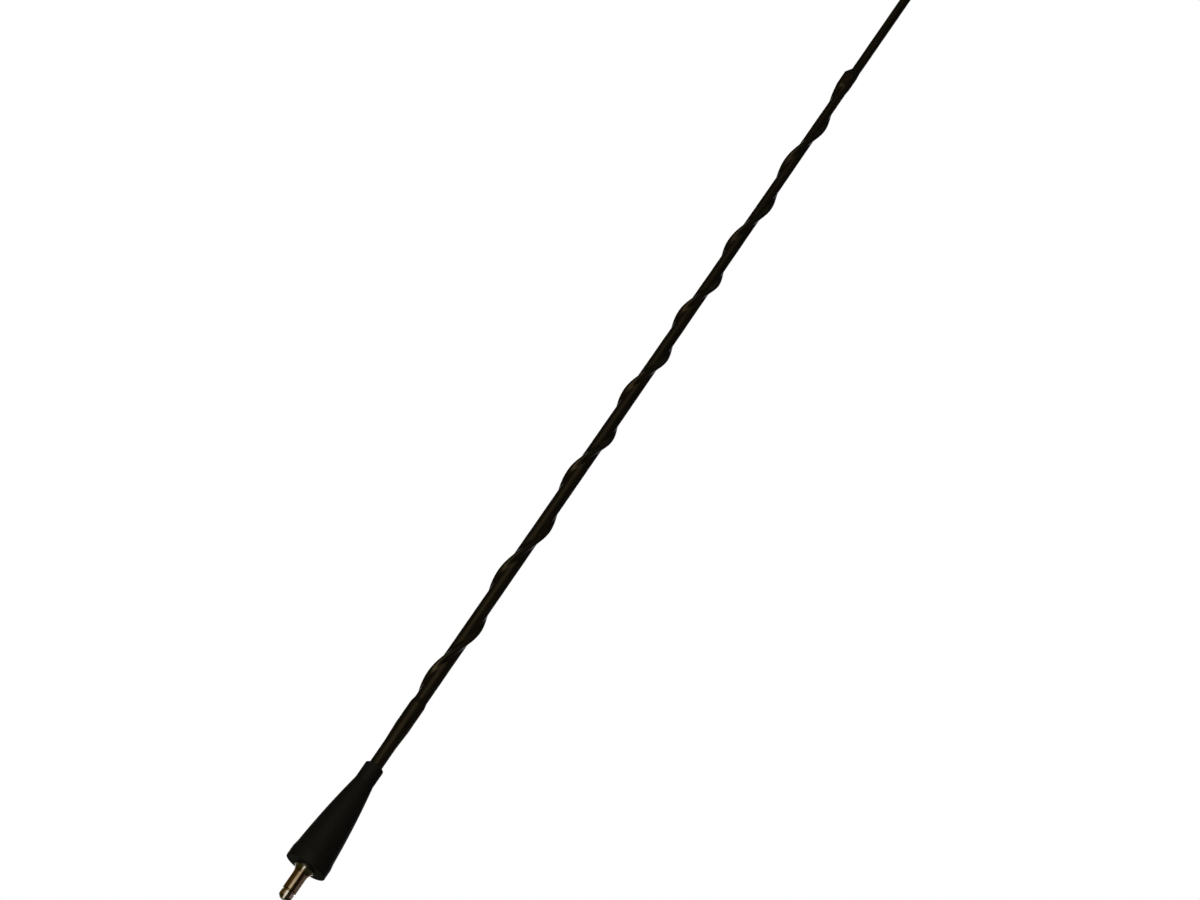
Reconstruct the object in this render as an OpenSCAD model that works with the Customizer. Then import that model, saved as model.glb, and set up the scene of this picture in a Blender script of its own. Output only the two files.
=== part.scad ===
// Mast of a car roof antenna. A glass-fibre whip carries a fine copper wire, and a thicker cord
// is wound over it in long turns to keep it quiet in the wind. A thin black sleeve is shrunk over
// everything. The foot is a turned brass fitting in a tapered rubber boot.
// Sizes are in millimetres. The seat face under the boot is at z = 0, and the mast points up.

/* [Whip] */
// Height of the tip above the seat face
mast_h = 400; // [396:1:440]
// Diameter of the glass-fibre core at the foot
core_foot_d = 3.06; // [2.9:0.02:3.3]
// Diameter of the core where the long taper starts
core_mid_d = 2.76; // [2.4:0.02:2.86]
// Diameter of the core from the end of the taper to the tip
core_tip_d = 1.58; // [1.4:0.02:2]
// Height at which the long taper starts
taper_low_z = 180; // [160:5:220]
// Height at which the long taper ends
taper_high_z = 340; // [320:5:370]

/* [Copper wire] */
// Diameter of the copper wire wound on the core
wire_d = 0.3; // [0.2:0.05:0.4]
// Rise of the copper wire in one turn
wire_rise = 14; // [12:1:24]
// Bare length of core above the last turn of copper wire
wire_end_gap = 16; // [8:1:24]

/* [Spiral cord] */
// Diameter of the cord
cord_d = 1.2; // [1:0.05:1.4]
// Height at which the cord leaves its lower tail and starts to turn
cord_start_z = 67.8; // [66:0.2:76]
// Mean rise of a full turn of the cord
turn_rise = 37.5; // [34:0.5:39]
// Direction of the lower tail, in degrees round the mast
tail_angle = 90; // [60:5:120]

/* [Bindings] */
// Wall of the lower binding, a band that ties down the lower tail of the cord
low_binding_t = 0.3; // [0.2:0.05:0.4]
// Length of the lower binding
low_binding_l = 9.5; // [8:0.5:10]
// Wall of the upper binding
high_binding_t = 0.15; // [0.1:0.05:0.4]
// Length of the upper binding
high_binding_l = 5.2; // [4:0.2:7]
// How far each binding reaches past the end of the cord
binding_cover = 1; // [0.6:0.1:2]

/* [Sleeve] */
// Wall of the shrink sleeve
sleeve_t = 0.36; // [0.3:0.02:0.5]
// Half the angle over which the sleeve stands off beside the cord, in half angles of the cord
drape = 2.9; // [2.7:0.1:3.3]
// The same over a binding
binding_drape = 3.9; // [3.7:0.1:4.2]
// Length of the slope where the sleeve swells below the lower binding
low_slope_l = 7; // [3:0.5:8]
// Length of the step where the sleeve closes down above the lower binding
step_l = 0.8; // [0.6:0.1:1.2]
// Length of the slope where the sleeve closes down above the upper binding
high_slope_l = 2.4; // [1.5:0.1:3.5]

/* [Fitting] */
// Diameter of the push-in pin
pin_d = 5; // [4.6:0.1:5.6]
// Length of the pin below the seat face
pin_l = 12.9; // [12:0.1:15]
// Diameter of the pin's head
head_d = 4.7; // [4.5:0.1:4.9]
// Length of the pin's head, chamfer included
head_l = 2.7; // [2.2:0.1:3.2]
// Chamfer at the end of the pin
head_chamfer = 0.9; // [0.5:0.1:1.1]
// Length of the snap groove above the head
groove_l = 0.8; // [0.5:0.1:1]
// Diameter at the bottom of the snap groove
groove_d = 4.1; // [3.8:0.1:4.3]
// Diameter of the shoulder that closes the hole in the boot
shoulder_d = 7.2; // [6.6:0.1:7.6]
// How far the edge of the shoulder stands below the seat face
shoulder_drop = 0.7; // [0.4:0.1:1]
// Height of the shoulder inside the boot
shoulder_h = 1.2; // [1:0.1:1.6]
// Radius of the flare between the pin and the shoulder
flare_r = 4; // [3:0.2:5]
// Diameter of the barrel inside the boot
barrel_d = 5.8; // [5.4:0.1:6.2]
// Diameter of the ribs that lock the barrel in the rubber
rib_d = 6.8; // [6.4:0.1:7]
// Width of each rib
rib_w = 1.1; // [0.8:0.1:1.4]
// Number of ribs
rib_count = 4; // [2:1:4]
// Spacing of the ribs
rib_spacing = 2.8; // [2.4:0.1:3]
// Diameter of the neck at the top of the fitting
neck_d = 4.2; // [4:0.1:4.4]
// Length of the neck
neck_l = 3; // [2:0.5:4]
// Height of the top of the fitting above the seat face
fitting_h = 17; // [16.5:0.5:19]
// Depth of the socket that holds the core
socket_l = 13; // [10:0.5:14]
// Height of the solder ring on the neck
solder_h = 0.9; // [0.6:0.1:1.2]

/* [Boot] */
// Height of the boot
boot_h = 41.5; // [39:0.5:44]
// Diameter of the boot at the seat face
boot_d = 14.8; // [14:0.1:16]
// Height of the straight band at the foot of the boot
boot_band_h = 3.8; // [3:0.1:5]
// Diameter of the boot where its long taper starts
boot_taper_d = 14; // [13.2:0.1:14.4]
// Height at which the long taper starts
boot_taper_z = 6.2; // [5.6:0.1:7]
// How far the long taper bulges out from a straight cone
boot_bulge = 0.34; // [0:0.02:0.6]
// Diameter of the collar at the top of the boot
collar_d = 6.8; // [6.4:0.1:7.4]
// Height of the collar
collar_h = 6.6; // [4:0.2:8]
// Rounding of the boot's foot edge
foot_edge_r = 0.2; // [0.1:0.1:0.6]
// Rounding of the collar's top edge
collar_edge_r = 0.7; // [0.3:0.1:0.8]

/* [Tip cap] */
// Diameter of the moulded tip cap
cap_d = 5.6; // [5:0.1:6.4]
// Length of the tip cap
cap_l = 12; // [10:0.5:13]
// Length of solid plastic above the whip
cap_roof = 3.4; // [3:0.1:4.5]
// Rounding of the cap's lower edge
cap_edge_r = 0.5; // [0.2:0.1:0.7]

/* [Clearances] */
// Gap between the rubber and what it is moulded over
mould_gap = 0.05; // [0.02:0.01:0.1]
// Gap between the core and its socket
socket_gap = 0.03; // [0.02:0.01:0.06]
// Gap between the top of the whip and the roof of the tip cap
cap_gap = 0.1; // [0.05:0.05:0.3]
// Gap between the core and the copper wire
wire_gap = 0.1; // [0.1:0.01:0.14]
// Gap between the copper wire and the cord
cord_gap = 0.08; // [0.07:0.01:0.12]
// Gap between the sleeve and what it covers
sleeve_gap = 0.07; // [0.07:0.01:0.1]

/* [Hidden] */

// Fineness of the round shapes, and how far a cut runs past the face it leaves through
round_fn = 64;
tail_fn = 24;
arc_steps = 8;
edge_steps = 3;
over = 1;

// Sides of the cord and of the copper wire, and their rings in one turn
cord_sides = 8;
cord_steps = 16;
wire_sides = 4;
wire_steps = 10;

core_foot_z = fitting_h - socket_l;
core_top_z = mast_h - cap_roof - cap_gap;
sleeve_foot_z = fitting_h + solder_h + mould_gap;
sleeve_top_z = core_top_z;
wire_foot_z = fitting_h + solder_h + mould_gap + wire_d;
wire_top_z = core_top_z - wire_end_gap;
cap_foot_z = mast_h - cap_l;

// Rise of each full turn beside the mean rise, from the foot upward: the winding is a little uneven
turn_shares = [1.15, 1.16, 0.95, 0.94, 0.86, 0.99, 0.95];

// Share of a turn that leads from the lower tail into the first full turn
first_turn = 0.25;
cord_turns = first_turn + len(turn_shares);

// Height and turn number at the start of the cord, at its first full turn and after each turn
function sum_to(list, n) = n < 1 ? 0 : list[n - 1] + sum_to(list, n - 1);
turn_marks = concat([[cord_start_z, 0]],
    [for (n = [0 : len(turn_shares)])
        [cord_start_z + turn_rise * (first_turn * turn_shares[0] + sum_to(turn_shares, n)),
         first_turn + n]]);
height_marks = [for (mark = turn_marks) [mark[1], mark[0]]];
cord_end_z = turn_marks[len(turn_marks) - 1][0];

low_binding_top_z = cord_start_z - step_l;
low_binding_foot_z = low_binding_top_z - low_binding_l;
high_binding_foot_z = cord_end_z;
high_binding_top_z = cord_end_z + high_binding_l;
cord_foot_z = low_binding_foot_z + binding_cover;
cord_top_z = high_binding_top_z - binding_cover;

// Radius of the core, and of the core with its copper wire, at a height
core_profile = [[boot_h, core_foot_d / 2], [taper_low_z, core_mid_d / 2], [taper_high_z, core_tip_d / 2]];
function core_r(z) = lookup(z, core_profile);
function wired_r(z) = core_r(z) + wire_gap + wire_d;

// Radius of the middle of the cord, and its direction round the mast, at a height
function cord_path_r(z) = wired_r(z) + cord_gap + cord_d / 2;
function cord_angle(z) = tail_angle + 360 * lookup(z, turn_marks);
function height_at_turn(t) = lookup(t, height_marks);
function sleeve_r(z) = wired_r(z) + sleeve_gap + sleeve_t;
sleeve_foot_r = sleeve_r(sleeve_foot_z);

// A share that rises from 0 to 1 between two heights
function ramp(z, from, to) = min(1, max(0, (z - from) / (to - from)));

// Points of an arc round a centre
function arc(centre, r, from, to, steps = arc_steps) =
    [for (n = [0 : steps]) let (a = from + (to - from) * n / steps)
        centre + r * [cos(a), sin(a)]];

// Points of a shallow arc from a to b that bulges to the right of the way by the given height
function bulge_arc(a, b, height, steps = arc_steps) =
    let (chord = b - a, side = [chord[1], -chord[0]] / norm(chord))
    [for (n = [0 : steps]) let (t = n / steps) a + chord * t + side * height * 4 * t * (1 - t)];

// A closed solid through rings of points that run anticlockwise from the foot to the top
module skin(rings) {
    n = len(rings[0]);
    last = (len(rings) - 1) * n;
    sides = [for (k = [0 : len(rings) - 2], i = [0 : n - 1])
        let (a = k * n + i, b = k * n + (i + 1) % n)
        each [[a, a + n, b], [a + n, b + n, b]]];
    foot = [for (i = [0 : n - 1]) i];
    top = [for (i = [n - 1 : -1 : 0]) last + i];
    polyhedron([for (ring = rings) each ring], concat(sides, [foot, top]), convexity = 10);
}

// A closed tube between rings of outer points and rings of inner points
module skin_tube(outer, inner) {
    n = len(outer[0]);
    count = len(outer) * n;
    last = count - n;
    walls = [for (k = [0 : len(outer) - 2], i = [0 : n - 1])
        let (a = k * n + i, b = k * n + (i + 1) % n, c = a + count, d = b + count)
        each [[a, a + n, b], [a + n, b + n, b], [c, d, c + n], [c + n, d, d + n]]];
    ends = [for (i = [0 : n - 1]) let (b = (i + 1) % n)
        each [[i, b, b + count, i + count],
              [last + i, last + i + count, last + b + count, last + b]]];
    points = [for (ring = concat(outer, inner)) each ring];
    polyhedron(points, concat(walls, ends), convexity = 10);
}

// Outline of the part of the fitting that the rubber grips, grown by a gap
function grip_outline(gap) =
    let (top = fitting_h - neck_l, first = shoulder_h + (top - shoulder_h
             - (rib_count - 1) * rib_spacing - rib_w) / 2)
    concat(
        [[shoulder_d / 2 + gap, shoulder_h + gap], [barrel_d / 2 + gap, shoulder_h + gap]],
        [for (n = [0 : rib_count - 1]) let (z = first + n * rib_spacing) each [
            [barrel_d / 2 + gap, z - gap], [rib_d / 2 + gap, z - gap],
            [rib_d / 2 + gap, z + rib_w + gap], [barrel_d / 2 + gap, z + rib_w + gap]]],
        [[barrel_d / 2 + gap, top + gap], [neck_d / 2 + gap, top + gap],
         [neck_d / 2 + gap, fitting_h + gap]]);

// Turned brass fitting: pin with its snap groove, flared shoulder, ribbed barrel and socket
module end_fitting() {
    head_top_z = head_l - pin_l;
    groove_top_z = head_top_z + groove_l;
    flare_step = (shoulder_d - pin_d) / 2;
    flare_angle = acos(1 - flare_step / flare_r);
    flare_foot_z = -shoulder_drop - flare_r * sin(flare_angle);
    socket_r = core_foot_d / 2 + socket_gap;
    color("goldenrod")
    rotate_extrude($fn = round_fn)
    polygon(concat(
        [[0, -pin_l], [head_d / 2 - head_chamfer, -pin_l], [head_d / 2, head_chamfer - pin_l],
         [head_d / 2, head_top_z], [groove_d / 2, head_top_z + groove_l / 4],
         [groove_d / 2, groove_top_z - groove_l / 4], [pin_d / 2, groove_top_z]],
        arc([pin_d / 2 + flare_r, flare_foot_z], flare_r, 180, 180 - flare_angle),
        grip_outline(0),
        [[socket_r, fitting_h], [socket_r, core_foot_z], [0, core_foot_z]]));
}

// Ring of solder that joins the copper wire to the neck of the fitting
module solder_joint() {
    inner_r = core_foot_d / 2 + socket_gap;
    width = neck_d / 2 - inner_r;
    color("silver")
    translate([0, 0, fitting_h])
    rotate_extrude($fn = round_fn)
    polygon(concat([[inner_r, 0]],
        [for (n = [0 : arc_steps]) let (a = 90 * n / arc_steps)
            [inner_r + width * cos(a), solder_h * sin(a)]]));
}

// Tapered glass-fibre core
module core_rod() {
    heights = [core_foot_z, boot_h, taper_low_z, taper_high_z, core_top_z];
    color("palegoldenrod")
    rotate_extrude($fn = round_fn)
    polygon(concat([[0, core_foot_z]], [for (z = heights) [core_r(z), z]], [[0, core_top_z]]));
}

// Fine copper wire wound on the core from the solder joint to near the tip
module conductor_wire() {
    rise = wire_top_z - wire_foot_z;
    turns = rise / wire_rise;
    steps = ceil(turns * wire_steps);
    color("chocolate")
    skin([for (n = [0 : steps])
        let (z = wire_foot_z + rise * n / steps, a = 360 * turns * n / steps,
             r = core_r(z) + wire_gap + wire_d / 2)
        [for (i = [0 : wire_sides - 1]) let (b = 360 * i / wire_sides)
            [(r + wire_d / 2 * cos(b)) * cos(a), (r + wire_d / 2 * cos(b)) * sin(a),
             z - wire_d / 2 * sin(b)]]]);
}

// Heights at which the cord and the sleeve have a ring, from the start of the cord to its end
winding_heights = [for (n = [0 : cord_turns * cord_steps]) height_at_turn(n / cord_steps)];

// One level ring of the cord, stretched sideways so that the slanting cord comes out round
function cord_ring(z, slope) =
    let (r = cord_path_r(z), a = cord_angle(z), lead = slope * cord_d / 2)
    [for (i = [0 : cord_sides - 1]) let (b = 360 * i / cord_sides, x = r + cord_d / 2 * cos(b),
                                        y = lead * sin(b))
        [x * cos(a) - y * sin(a), x * sin(a) + y * cos(a), z]];

// Cord wound round the whip in long turns, with a straight tail at each end
module spiral_cord() {
    mean_rise = (cord_end_z - cord_start_z) / cord_turns;
    round_the_mast = PI * 2 * cord_path_r((cord_start_z + cord_end_z) / 2);
    stretch = norm([mean_rise, round_the_mast]) / mean_rise;
    color("dimgray")
    skin(concat([cord_ring(cord_foot_z, 1)],
        [for (z = winding_heights) cord_ring(z, stretch)],
        [cord_ring(cord_top_z, 1)]));
}

// Band drawn tight round the whip and one straight tail of the cord
module binding(foot_z, length, wall) {
    whip_r = wired_r(foot_z) + cord_gap / 2;
    tail_r = (cord_d + cord_gap) / 2;
    module belt(t) {
        hull() {
            circle(whip_r + t, $fn = round_fn);
            translate([cord_path_r(foot_z), 0]) circle(tail_r + t, $fn = tail_fn);
        }
    }
    color("black")
    translate([0, 0, foot_z])
    rotate([0, 0, cord_angle(foot_z)])
    linear_extrude(length)
    difference() {
        belt(wall);
        belt(0);
    }
}

module lower_binding() {
    binding(low_binding_foot_z, low_binding_l, low_binding_t);
}

module upper_binding() {
    binding(high_binding_foot_z, high_binding_l, high_binding_t);
}

// Share of each binding, and of the cord, that lies under the sleeve at a height, from 0 to 1
function on_low_binding(z) = min(ramp(z, low_binding_foot_z - low_slope_l, low_binding_foot_z),
                                 1 - ramp(z, low_binding_top_z, low_binding_top_z + step_l));
function on_high_binding(z) = min(ramp(z, high_binding_foot_z - step_l, high_binding_foot_z),
                                  1 - ramp(z, high_binding_top_z, high_binding_top_z + high_slope_l));
function on_cord(z) = min(ramp(z, low_binding_foot_z - low_slope_l, low_binding_foot_z),
                          1 - ramp(z, high_binding_top_z, high_binding_top_z + high_slope_l));

// Angle from the cord, seen from the mast's axis, at which the sleeve lies down on the whip again
function drape_angle(z) = let (bound = max(on_low_binding(z), on_high_binding(z)))
    (drape + (binding_drape - drape) * bound) * asin(cord_d / 2 / cord_path_r(z));

// Inner radius of the sleeve at a height, for a share of the drape angle measured from the cord
function lining_r(z, share) = wired_r(z) + sleeve_gap
    + (low_binding_t + sleeve_gap) * on_low_binding(z)
    + (high_binding_t + sleeve_gap) * on_high_binding(z)
    + (cord_d + cord_gap) * on_cord(z) * (share < 1 ? cos(90 * share) ^ 2 : 0);

// Places round a ring: shares of the drape angle beside the cord, then steps round the back
drape_shares = [0, 0.2, 0.42, 0.68, 1];
back_steps = 5;
function sleeve_ring(z, wall) =
    let (lies_down = drape_angle(z),
         half = concat(
             [for (share = drape_shares) [lies_down * share, share]],
             [for (n = [1 : back_steps])
                 [lies_down + (180 - lies_down) * n / back_steps, 1]]),
         last = len(half) - 1,
         places = concat(half, [for (i = [last - 1 : -1 : 1]) [-half[i][0], half[i][1]]]))
    [for (place = places) let (r = lining_r(z, place[1]) + wall, a = cord_angle(z) + place[0])
        [r * cos(a), r * sin(a), z]];

// Black sleeve shrunk over the whip, the cord and the bindings
module sleeve() {
    heights = concat(
        [sleeve_foot_z, low_binding_foot_z - low_slope_l, low_binding_foot_z, low_binding_top_z],
        winding_heights,
        [high_binding_top_z, high_binding_top_z + high_slope_l, sleeve_top_z]);
    color("black")
    skin_tube([for (z = heights) sleeve_ring(z, sleeve_t)], [for (z = heights) sleeve_ring(z, 0)]);
}

// Tapered rubber boot moulded over the fitting and the foot of the sleeve
module boot() {
    foot_r = boot_d / 2;
    collar_r = collar_d / 2;
    collar_foot_z = boot_h - collar_h;
    hole_r = sleeve_foot_r + mould_gap;
    foot_e = foot_edge_r;
    top_e = collar_edge_r;
    color("#1b1a17")
    rotate_extrude($fn = round_fn)
    difference() {
        polygon(concat(
            [[0, 0]],
            arc([foot_r - foot_e, foot_e], foot_e, -90, 0, edge_steps),
            [[foot_r, boot_band_h]],
            bulge_arc([boot_taper_d / 2, boot_taper_z], [collar_r, collar_foot_z], boot_bulge),
            arc([collar_r - top_e, boot_h - top_e], top_e, 0, 90, edge_steps),
            [[0, boot_h]]));
        polygon(concat(
            [[0, -over], [shoulder_d / 2 + mould_gap, -over]],
            grip_outline(mould_gap),
            [[hole_r, fitting_h + mould_gap], [hole_r, boot_h + over], [0, boot_h + over]]));
    }
}

// Moulded cap with a rounded end, pushed over the top of the sleeve
module tip_cap() {
    r = cap_d / 2;
    hole_r = sleeve_r(sleeve_top_z) + mould_gap;
    hole_top_z = mast_h - cap_roof;
    color("black")
    rotate_extrude($fn = round_fn)
    polygon(concat(
        [[hole_r, cap_foot_z]],
        arc([r - cap_edge_r, cap_foot_z + cap_edge_r], cap_edge_r, -90, 0, edge_steps),
        arc([0, mast_h - r], r, 0, 90),
        [[0, hole_top_z], [hole_r, hole_top_z]]));
}

end_fitting();
solder_joint();
core_rod();
conductor_wire();
spiral_cord();
lower_binding();
upper_binding();
sleeve();
boot();
tip_cap();
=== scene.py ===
# %% [markdown]
# # A car antenna mast
#
# The object is the mast of a short car roof antenna. A turned metal pin plugs into the car, a
# tapered rubber boot sits over it, and a thin black rod rises from the boot. Under the black
# sleeve of the rod a cord is wound in long turns, and it shows as a ridge that climbs round the
# mast like a slow screw.
#
# The exact solids come from a CAD model. This lesson keeps them in place and adds the looks:
# the camera, the light, the finishes, and finer surfaces where the eye needs them.

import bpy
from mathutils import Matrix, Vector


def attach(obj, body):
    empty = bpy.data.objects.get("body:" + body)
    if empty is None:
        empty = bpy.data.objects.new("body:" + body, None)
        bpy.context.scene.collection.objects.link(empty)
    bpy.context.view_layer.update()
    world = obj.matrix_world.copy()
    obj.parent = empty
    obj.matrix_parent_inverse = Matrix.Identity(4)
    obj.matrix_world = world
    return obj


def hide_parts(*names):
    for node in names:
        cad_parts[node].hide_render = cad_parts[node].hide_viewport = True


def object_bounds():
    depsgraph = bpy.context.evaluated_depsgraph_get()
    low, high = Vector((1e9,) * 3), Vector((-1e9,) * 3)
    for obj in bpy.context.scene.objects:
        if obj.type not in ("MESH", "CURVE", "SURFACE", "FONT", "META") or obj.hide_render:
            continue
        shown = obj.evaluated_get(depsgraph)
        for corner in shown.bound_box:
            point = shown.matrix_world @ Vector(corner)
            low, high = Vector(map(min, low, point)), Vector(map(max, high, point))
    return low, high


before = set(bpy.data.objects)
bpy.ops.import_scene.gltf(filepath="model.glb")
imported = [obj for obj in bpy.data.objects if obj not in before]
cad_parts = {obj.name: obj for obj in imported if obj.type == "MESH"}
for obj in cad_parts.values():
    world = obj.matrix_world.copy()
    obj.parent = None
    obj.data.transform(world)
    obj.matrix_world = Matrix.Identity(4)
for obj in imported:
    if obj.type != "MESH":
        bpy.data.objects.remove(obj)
cad_low, cad_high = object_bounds()
print("solids:", sorted(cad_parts))
print("height of the whole mast in metres:", round(cad_high.z - cad_low.z, 4))

# %% [markdown]
# ## Units
#
# The CAD values are written in millimetres, because a maker reads them that way, and Blender
# works in metres. One factor turns the first into the second, so every size below can be
# compared with a drawing.

# %% Units
import math

import bpy
import numpy as np
from mathutils import Matrix, Vector

MM = 0.001
scene = bpy.context.scene
print("one millimetre is", MM, "of a Blender unit")

# %% [markdown]
# ## The camera
#
# The photograph looks at the mast through a long lens, from below the level of the foot of the
# boot, so that the underside of the boot just shows. The picture is also turned, so the upright
# mast runs from the lower left to the upper right. Both could be had by laying the mast down,
# but its own axes are worth keeping upright, so the camera is lowered, tipped up and rolled
# instead. Its place and angles were fitted until the foot, the collar and the turns of the
# ridge lay on those of the photograph.

# %% Place the camera
PICTURE_WIDTH = 1200
LENS_MM, SENSOR_MM = 150.0, 36.0
NEAREST, FARTHEST = 0.05, 50.0
CAMERA_PLACE = Vector((0.001674, -1.577775, -0.422722))
CLIMB, ROLL = math.radians(20.833), math.radians(34.650)

camera_data = bpy.data.cameras.new("long_lens")
camera_data.lens = LENS_MM
camera_data.sensor_width = SENSOR_MM
camera_data.clip_start, camera_data.clip_end = NEAREST, FARTHEST
camera = bpy.data.objects.new("camera", camera_data)
scene.collection.objects.link(camera)
camera.matrix_world = (
    Matrix.Translation(CAMERA_PLACE)
    @ Matrix.Rotation(math.pi / 2 + CLIMB, 4, "X")
    @ Matrix.Rotation(ROLL, 4, "Z")
)
scene.camera = camera
pixels_per_mm = PICTURE_WIDTH * LENS_MM / SENSOR_MM / CAMERA_PLACE.length * MM
print("pixels of the picture for a millimetre at the foot:", round(pixels_per_mm, 2))

# %% [markdown]
# ## A white room for the camera, a dimmer one for the light
#
# The photograph has a plain white background. Making the whole world bright would do it, but
# then the world would also flood the black rubber with light. The Light Path node tells rays
# apart: camera rays, mirror rays and rays through clear things see pure white, and the soft
# light that falls on the object comes from a dimmer world. The floor and the cards further down
# need the same few nodes, so each kind of node gets a small tool here.

# %% Tools for the room


def light_node(tree, kind, colour, strength):
    """The output of a Background or Emission node."""
    node = tree.nodes.new("ShaderNode" + kind)
    node.inputs["Color"].default_value = (*colour, 1.0)
    node.inputs["Strength"].default_value = strength
    return node.outputs[0]


def math_node(tree, operation, first, second):
    """The output of a Math node that joins two outputs."""
    node = tree.nodes.new("ShaderNodeMath")
    node.operation = operation
    tree.links.new(first, node.inputs[0])
    tree.links.new(second, node.inputs[1])
    return node.outputs[0]


def mix_shaders(tree, share, first, second):
    """The first shader where share is 0, the second where it is 1, and a mix between."""
    node = tree.nodes.new("ShaderNodeMixShader")
    for socket, output in zip(node.inputs, (share, first, second)):
        tree.links.new(output, socket)
    return node.outputs[0]


def seen_directly(tree):
    """1 for camera rays, mirror rays and rays through clear things, and 0 for soft light."""
    ray = tree.nodes.new("ShaderNodeLightPath").outputs
    eye_or_mirror = math_node(tree, "MAXIMUM", ray["Is Camera Ray"], ray["Is Glossy Ray"])
    return math_node(tree, "MAXIMUM", eye_or_mirror, ray["Is Transmission Ray"])


print("the room, the floor and the cards share four small tools")

# %% [markdown]
# The room itself is then two lights and a switch: a dim, hardly tinted fill, full white, and
# the rays that choose between them.

# %% Build the world
WHITE = (1.0, 1.0, 1.0)
FILL_TINT, FILL_STRENGTH = (1.0, 0.99, 0.97), 0.42

world = bpy.data.worlds.new("white_room")
scene.world = world
world.use_nodes = True
room = world.node_tree
room.nodes.clear()
fill = light_node(room, "Background", FILL_TINT, FILL_STRENGTH)
bright = light_node(room, "Background", WHITE, 1.0)
room_light = mix_shaders(room, seen_directly(room), fill, bright)
world_out = room.nodes.new("ShaderNodeOutputWorld")
room.links.new(room_light, world_out.inputs["Surface"])
scene.view_settings.view_transform = "Standard"
print("strength of the soft fill light:", FILL_STRENGTH)

# %% [markdown]
# ## The floor
#
# The mast stands on the end of its pin on a pale floor, which catches its shadow. The camera is
# lower than that floor, so the floor has to let it look through from below. The Backfacing
# output is 1 where a ray meets the underside, and there the floor turns clear. From above it is
# a matte floor that fades into the white of the room with distance, so no horizon shows. The
# fade is made of glow that only camera and mirror rays see, as in the room, so it throws no
# extra light on the object.

# %% Lay the floor
FLOOR_Z = cad_low.z - 0.4 * MM
FLOOR_HALF = 4.0
FLOOR_TONE = (0.86, 0.86, 0.85, 1.0)
# the share of glow in the floor, by the distance from the foot of the mast in metres
FADE = {"From Min": 0.15, "From Max": 1.1, "To Min": 0.45, "To Max": 1.0}

corners = [(-FLOOR_HALF, -FLOOR_HALF), (FLOOR_HALF, -FLOOR_HALF),
           (FLOOR_HALF, FLOOR_HALF), (-FLOOR_HALF, FLOOR_HALF)]
floor_mesh = bpy.data.meshes.new("floor")
floor_mesh.from_pydata([(x, y, FLOOR_Z) for x, y in corners], [], [(0, 1, 2, 3)])
floor = bpy.data.objects.new("floor", floor_mesh)
scene.collection.objects.link(floor)

floor_paint = bpy.data.materials.new("pale_floor")
floor_paint.use_nodes = True
paint = floor_paint.node_tree
paint.nodes.clear()
matte = paint.nodes.new("ShaderNodeBsdfDiffuse")
matte.inputs["Color"].default_value = FLOOR_TONE
distance = paint.nodes.new("ShaderNodeVectorMath")
distance.operation = "LENGTH"
paint.links.new(paint.nodes.new("ShaderNodeTexCoord").outputs["Object"], distance.inputs[0])
fade = paint.nodes.new("ShaderNodeMapRange")
fade.interpolation_type = "SMOOTHSTEP"
for socket, value in FADE.items():
    fade.inputs[socket].default_value = value
paint.links.new(distance.outputs["Value"], fade.inputs["Value"])
share_of_glow = math_node(paint, "MULTIPLY", seen_directly(paint), fade.outputs[0])
from_above = mix_shaders(paint, share_of_glow, matte.outputs[0],
                         light_node(paint, "Emission", WHITE, 1.0))
from_below = paint.nodes.new("ShaderNodeBsdfTransparent").outputs[0]
is_underside = paint.nodes.new("ShaderNodeNewGeometry").outputs["Backfacing"]
paint_out = paint.nodes.new("ShaderNodeOutputMaterial")
both_sides = mix_shaders(paint, is_underside, from_above, from_below)
paint.links.new(both_sides, paint_out.inputs["Surface"])
floor_mesh.materials.append(floor_paint)
print("floor height in millimetres:", round(FLOOR_Z / MM, 2))

# %% [markdown]
# ## Soft lamps
#
# Two large area lamps give plain studio light: a warmer key from the left of the camera, which
# also stands high enough to throw a short shadow, and a cooler, weaker one from the right. A
# lamp's power is worked out from the light wanted at the mast, so that a matte colour renders
# about as it is written. A white card that faces a lamp glows with the lamp's power divided by
# the square of pi times the distance, so the power for a wanted share of full white is that
# share times the same square.

# %% Hang the lamps
MAST_MIDDLE = Vector((0.0, 0.0, 0.19))


def hang_lamp(name, place, size, share_of_white, tint):
    """An area lamp that lights a white card at the mast to the given share of full white."""
    data = bpy.data.lights.new(name, "AREA")
    data.shape = "RECTANGLE"
    data.size, data.size_y = size
    data.color = tint
    place = Vector(place)
    towards = MAST_MIDDLE - place
    data.energy = share_of_white * (math.pi * towards.length) ** 2
    lamp = bpy.data.objects.new(name, data)
    lamp.location = place
    lamp.rotation_mode = "QUATERNION"
    lamp.rotation_quaternion = towards.to_track_quat("-Z", "Y")
    scene.collection.objects.link(lamp)
    lamp.visible_camera = False
    print(name, "gives", share_of_white, "of white at", round(towards.length, 2), "m")
    return lamp


SOFT, SMALL = (0.8, 0.8), (0.12, 0.12)
WARM, COOL, DAYLIGHT = (1.0, 0.96, 0.9), (0.9, 0.95, 1.0), (0.93, 0.97, 1.0)

key_lamp = hang_lamp("key_lamp", (-0.75, -1.15, 0.95), SOFT, 0.5, WARM)
side_lamp = hang_lamp("side_lamp", (1.25, -0.35, 0.7), SOFT, 0.16, COOL)
key_lamp.visible_glossy = side_lamp.visible_glossy = False

# %% [markdown]
# A third, small lamp sits near the camera, below the floor. It is there for a sparkle alone:
# steep flanks of the winding that look down at the camera catch it. The floor would block it,
# so light linking takes the floor out of the things that stand in this lamp's way.

# %% Hang the sparkle lamp


def all_but(name, thing):
    """A collection for light linking that means everything but one object."""
    collection = bpy.data.collections.new(name)
    collection.objects.link(thing)
    collection.collection_objects[0].light_linking.link_state = "EXCLUDE"
    print(name, "leaves out", thing.name)
    return collection


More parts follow.
